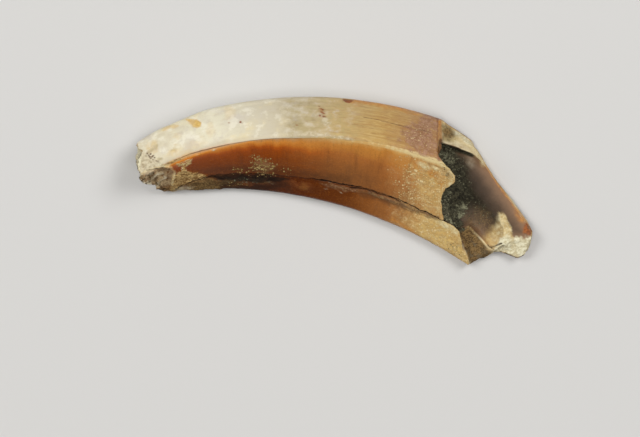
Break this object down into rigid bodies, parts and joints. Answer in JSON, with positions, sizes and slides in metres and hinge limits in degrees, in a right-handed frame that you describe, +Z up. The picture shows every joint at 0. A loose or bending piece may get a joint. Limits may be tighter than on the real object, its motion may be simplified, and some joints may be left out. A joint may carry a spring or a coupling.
{
  "type": "boar tusk",
  "caption": "Broken lower canine of a boar: a curved, three-sided tusk with a pale outer band, an amber inner face and an open hollow root end. It lies on its flat side.",
  "frame": {"origin": "on the table plane, under the middle of the tusk's length and width as it lies", "axes": "+X from the broken tip towards the hollow root end, +Y towards the convex keel, +Z up, away from the table"},
  "size_m": [0.0506, 0.0214, 0.009],
  "materials": {
    "tusk": "semi-gloss amber dentine and ivory enamel, stained brown, with matt cream and dark dirty breaks"
  },
  "bodies": {
    "root": {"tusk": "tusk"}
  },
  "joints": []
}
